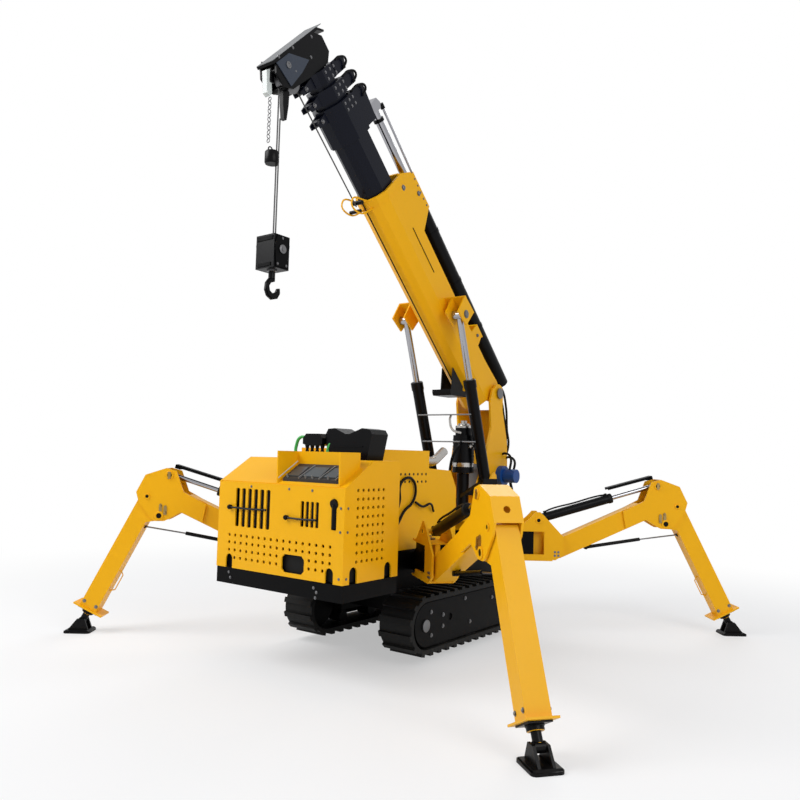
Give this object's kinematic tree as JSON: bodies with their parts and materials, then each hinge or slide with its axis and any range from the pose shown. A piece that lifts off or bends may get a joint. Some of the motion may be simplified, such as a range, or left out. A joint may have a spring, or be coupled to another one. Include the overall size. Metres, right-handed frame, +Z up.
{
  "type": "compact crawler crane",
  "caption": "Compact crawler crane: telescopic boom on a slewing column over a tracked carrier with folding outrigger legs and foot pads.",
  "frame": {"origin": "on the ground at the centre of the square of the four foot pads", "axes": "+X to the bonnet end, +Y to the machine's left side, +Z up"},
  "size_m": [4.507, 4.9224, 5.156],
  "materials": {
    "yellow_paint": "weathered gloss paint",
    "black_paint": "satin paint",
    "frame_black_paint": "dusty matt paint",
    "dark_blue_paint": "gloss paint",
    "motor_blue_paint": "gloss paint",
    "steel": "oiled bare steel",
    "exhaust_steel": "bright pipe",
    "rope_steel": "greased wire rope",
    "chrome": "polished",
    "track_rubber": "matt moulded",
    "panel_plastic": "matt"
  },
  "bodies": {
    "chassis": {"chassis_frame": "frame_black_paint", "hood_front": "yellow_paint", "hood_sides": "yellow_paint", "hood_roof": "yellow_paint", "control_panel": "panel_plastic", "engine_block": "black_paint", "house": "yellow_paint", "exhaust_elbow": "exhaust_steel", "track_left": "track_rubber", "track_right": "track_rubber", "track_frames": "frame_black_paint", "track_wheels": "steel"},
    "upper": {"turntable": "yellow_paint", "column": "yellow_paint", "winch_motor": "motor_blue_paint", "slew_drive": "black_paint"},
    "winch_drum": {"winch": "steel"},
    "boom": {"boom_base": "yellow_paint", "telescope_barrel": "black_paint"},
    "section_2": {"boom_section_2": "dark_blue_paint", "telescope_rod": "chrome"},
    "section_3": {"boom_section_3": "dark_blue_paint"},
    "section_4": {"boom_section_4": "dark_blue_paint"},
    "tip": {"boom_tip": "black_paint"},
    "sheave": {"head_sheave": "steel"},
    "hook_line": {"hoist_rope": "rope_steel", "hook_block": "black_paint"},
    "hook": {"hook": "steel"},
    "lift_barrel_pair": {"lift_barrels": "black_paint"},
    "lift_rod_pair": {"lift_rods": "chrome"},
    "front_left_swing": {"bracket_front_left": "yellow_paint"},
    "front_left_arm": {"arm_front_left": "yellow_paint"},
    "front_left_jack_barrel": {"jack_barrel_front_left": "black_paint"},
    "front_left_jack_rod": {"jack_rod_front_left": "chrome"},
    "front_left_leg": {"leg_front_left": "yellow_paint"},
    "front_left_foot": {"foot_front_left": "black_paint"},
    "front_right_swing": {"bracket_front_right": "yellow_paint"},
    "front_right_arm": {"arm_front_right": "yellow_paint"},
    "front_right_jack_barrel": {"jack_barrel_front_right": "black_paint"},
    "front_right_jack_rod": {"jack_rod_front_right": "chrome"},
    "front_right_leg": {"leg_front_right": "yellow_paint"},
    "front_right_foot": {"foot_front_right": "black_paint"},
    "rear_left_swing": {"bracket_rear_left": "yellow_paint"},
    "rear_left_arm": {"arm_rear_left": "yellow_paint"},
    "rear_left_jack_barrel": {"jack_barrel_rear_left": "black_paint"},
    "rear_left_jack_rod": {"jack_rod_rear_left": "chrome"},
    "rear_left_leg": {"leg_rear_left": "yellow_paint"},
    "rear_left_foot": {"foot_rear_left": "black_paint"},
    "rear_right_swing": {"bracket_rear_right": "yellow_paint"},
    "rear_right_arm": {"arm_rear_right": "yellow_paint"},
    "rear_right_jack_barrel": {"jack_barrel_rear_right": "black_paint"},
    "rear_right_jack_rod": {"jack_rod_rear_right": "chrome"},
    "rear_right_leg": {"leg_rear_right": "yellow_paint"},
    "rear_right_foot": {"foot_rear_right": "black_paint"}
  },
  "joints": [
    {"name": "slew", "type": "hinge", "parent": "chassis", "child": "upper", "pos_m": [-0.85, 0, 1], "axis": [0, 0, 1], "continuous": true},
    {"name": "winch_spin", "type": "hinge", "parent": "upper", "child": "winch_drum", "pos_m": [-1.14, 0, 1.5], "axis": [0, 1, 0], "continuous": true},
    {"name": "luff", "type": "hinge", "parent": "upper", "child": "boom", "pos_m": [-1.08, 0, 2.38], "axis": [0, -1, 0], "range_deg": [-22, 33]},
    {"name": "extend_2", "type": "slide", "parent": "boom", "child": "section_2", "axis": [0.7284, 0, 0.6852], "range_m": [0, 1.6]},
    {"name": "extend_3", "type": "slide", "parent": "section_2", "child": "section_3", "axis": [0.7284, 0, 0.6852], "range_m": [0, 1.6]},
    {"name": "extend_4", "type": "slide", "parent": "section_3", "child": "section_4", "axis": [0.7284, 0, 0.6852], "range_m": [0, 1.6]},
    {"name": "extend_5", "type": "slide", "parent": "section_4", "child": "tip", "axis": [0.7284, 0, 0.6852], "range_m": [0, 1.6]},
    {"name": "sheave_spin", "type": "hinge", "parent": "tip", "child": "sheave", "pos_m": [2, 0, 4.622], "axis": [0, 1, 0], "continuous": true},
    {"name": "hook_line_hang", "type": "hinge", "parent": "tip", "child": "hook_line", "pos_m": [2.07, 0, 4.55], "axis": [0, -1, 0], "range_deg": [-34, 24]},
    {"name": "hook_swivel", "type": "hinge", "parent": "hook_line", "child": "hook", "pos_m": [2.08, 0, 3.05], "axis": [0, 0, 1], "continuous": true},
    {"name": "lift_tilt", "type": "hinge", "parent": "upper", "child": "lift_barrel_pair", "pos_m": [-0.69, 0, 1.335], "axis": [0, -1, 0], "range_deg": [-13, 19]},
    {"name": "lift_stroke", "type": "slide", "parent": "lift_barrel_pair", "child": "lift_rod_pair", "axis": [0.3248, 0, 0.9458], "range_m": [-0.3, 0.41]},
    {"name": "front_left_post_swing", "type": "hinge", "parent": "chassis", "child": "front_left_swing", "pos_m": [0.76, 0.604, 0.85], "axis": [0, 0, 1], "range_deg": [-18, 18]},
    {"name": "front_left_arm_raise", "type": "hinge", "parent": "front_left_swing", "child": "front_left_arm", "pos_m": [1.00791, 0.91791, 0.762], "axis": [0.7848, -0.6198, 0], "range_deg": [-5, 30]},
    {"name": "front_left_jack_tilt", "type": "hinge", "parent": "front_left_swing", "child": "front_left_jack_barrel", "pos_m": [0.89511, 0.77508, 1.085], "axis": [0.7848, -0.6198, 0], "range_deg": [-6, 32]},
    {"name": "front_left_jack_stroke", "type": "slide", "parent": "front_left_jack_barrel", "child": "front_left_jack_rod", "axis": [0.5924, 0.75, 0.2942], "range_m": [-0.21, 0.05]},
    {"name": "front_left_leg_fold", "type": "hinge", "parent": "front_left_arm", "child": "front_left_leg", "pos_m": [1.68161, 1.77096, 1.078], "axis": [0.7848, -0.6198, 0], "range_deg": [-85, 0]},
    {"name": "front_left_foot_tilt", "type": "hinge", "parent": "front_left_leg", "child": "front_left_foot", "pos_m": [2.10182, 2.30304, 0.102], "axis": [0.7848, -0.6198, 0], "range_deg": [-12, 12]},
    {"name": "front_right_post_swing", "type": "hinge", "parent": "chassis", "child": "front_right_swing", "pos_m": [0.76, -0.604, 0.85], "axis": [0, 0, 1], "range_deg": [-18, 18]},
    {"name": "front_right_arm_raise", "type": "hinge", "parent": "front_right_swing", "child": "front_right_arm", "pos_m": [1.00791, -0.91791, 0.762], "axis": [-0.7848, -0.6198, 0], "range_deg": [-5, 30]},
    {"name": "front_right_jack_tilt", "type": "hinge", "parent": "front_right_swing", "child": "front_right_jack_barrel", "pos_m": [0.89511, -0.77508, 1.085], "axis": [-0.7848, -0.6198, 0], "range_deg": [-6, 32]},
    {"name": "front_right_jack_stroke", "type": "slide", "parent": "front_right_jack_barrel", "child": "front_right_jack_rod", "axis": [0.5924, -0.75, 0.2942], "range_m": [-0.21, 0.05]},
    {"name": "front_right_leg_fold", "type": "hinge", "parent": "front_right_arm", "child": "front_right_leg", "pos_m": [1.68161, -1.77096, 1.078], "axis": [-0.7848, -0.6198, 0], "range_deg": [-85, 0]},
    {"name": "front_right_foot_tilt", "type": "hinge", "parent": "front_right_leg", "child": "front_right_foot", "pos_m": [2.10182, -2.30304, 0.102], "axis": [-0.7848, -0.6198, 0], "range_deg": [-12, 12]},
    {"name": "rear_left_post_swing", "type": "hinge", "parent": "chassis", "child": "rear_left_swing", "pos_m": [-0.76, 0.604, 0.85], "axis": [0, 0, 1], "range_deg": [-18, 18]},
    {"name": "rear_left_arm_raise", "type": "hinge", "parent": "rear_left_swing", "child": "rear_left_arm", "pos_m": [-1.00791, 0.91791, 0.762], "axis": [0.7848, 0.6198, 0], "range_deg": [-5, 30]},
    {"name": "rear_left_jack_tilt", "type": "hinge", "parent": "rear_left_swing", "child": "rear_left_jack_barrel", "pos_m": [-0.89511, 0.77508, 1.085], "axis": [0.7848, 0.6198, 0], "range_deg": [-6, 32]},
    {"name": "rear_left_jack_stroke", "type": "slide", "parent": "rear_left_jack_barrel", "child": "rear_left_jack_rod", "axis": [-0.5924, 0.75, 0.2942], "range_m": [-0.21, 0.05]},
    {"name": "rear_left_leg_fold", "type": "hinge", "parent": "rear_left_arm", "child": "rear_left_leg", "pos_m": [-1.68161, 1.77096, 1.078], "axis": [0.7848, 0.6198, 0], "range_deg": [-85, 0]},
    {"name": "rear_left_foot_tilt", "type": "hinge", "parent": "rear_left_leg", "child": "rear_left_foot", "pos_m": [-2.10182, 2.30304, 0.102], "axis": [0.7848, 0.6198, 0], "range_deg": [-12, 12]},
    {"name": "rear_right_post_swing", "type": "hinge", "parent": "chassis", "child": "rear_right_swing", "pos_m": [-0.76, -0.604, 0.85], "axis": [0, 0, 1], "range_deg": [-18, 18]},
    {"name": "rear_right_arm_raise", "type": "hinge", "parent": "rear_right_swing", "child": "rear_right_arm", "pos_m": [-1.00791, -0.91791, 0.762], "axis": [-0.7848, 0.6198, 0], "range_deg": [-5, 30]},
    {"name": "rear_right_jack_tilt", "type": "hinge", "parent": "rear_right_swing", "child": "rear_right_jack_barrel", "pos_m": [-0.89511, -0.77508, 1.085], "axis": [-0.7848, 0.6198, 0], "range_deg": [-6, 32]},
    {"name": "rear_right_jack_stroke", "type": "slide", "parent": "rear_right_jack_barrel", "child": "rear_right_jack_rod", "axis": [-0.5924, -0.75, 0.2942], "range_m": [-0.21, 0.05]},
    {"name": "rear_right_leg_fold", "type": "hinge", "parent": "rear_right_arm", "child": "rear_right_leg", "pos_m": [-1.68161, -1.77096, 1.078], "axis": [-0.7848, 0.6198, 0], "range_deg": [-85, 0]},
    {"name": "rear_right_foot_tilt", "type": "hinge", "parent": "rear_right_leg", "child": "rear_right_foot", "pos_m": [-2.10182, -2.30304, 0.102], "axis": [-0.7848, 0.6198, 0], "range_deg": [-12, 12]}
  ],
  "couplings": [
    {"joint": "hook_line_hang", "follows": "luff", "ratio": -1},
    {"joint": "lift_tilt", "follows": "luff", "ratio": 0.535},
    {"joint": "lift_stroke", "follows": "luff", "m_per_rad": 0.655},
    {"joint": "extend_3", "follows": "extend_2", "ratio": 1},
    {"joint": "extend_4", "follows": "extend_2", "ratio": 1},
    {"joint": "extend_5", "follows": "extend_2", "ratio": 1},
    {"joint": "front_left_jack_tilt", "follows": "front_left_arm_raise", "ratio": 0.9711},
    {"joint": "front_left_jack_stroke", "follows": "front_left_arm_raise", "m_per_rad": -0.3623},
    {"joint": "front_right_jack_tilt", "follows": "front_right_arm_raise", "ratio": 0.9711},
    {"joint": "front_right_jack_stroke", "follows": "front_right_arm_raise", "m_per_rad": -0.3623},
    {"joint": "rear_left_jack_tilt", "follows": "rear_left_arm_raise", "ratio": 0.9711},
    {"joint": "rear_left_jack_stroke", "follows": "rear_left_arm_raise", "m_per_rad": -0.3623},
    {"joint": "rear_right_jack_tilt", "follows": "rear_right_arm_raise", "ratio": 0.9711},
    {"joint": "rear_right_jack_stroke", "follows": "rear_right_arm_raise", "m_per_rad": -0.3623}
  ]
}
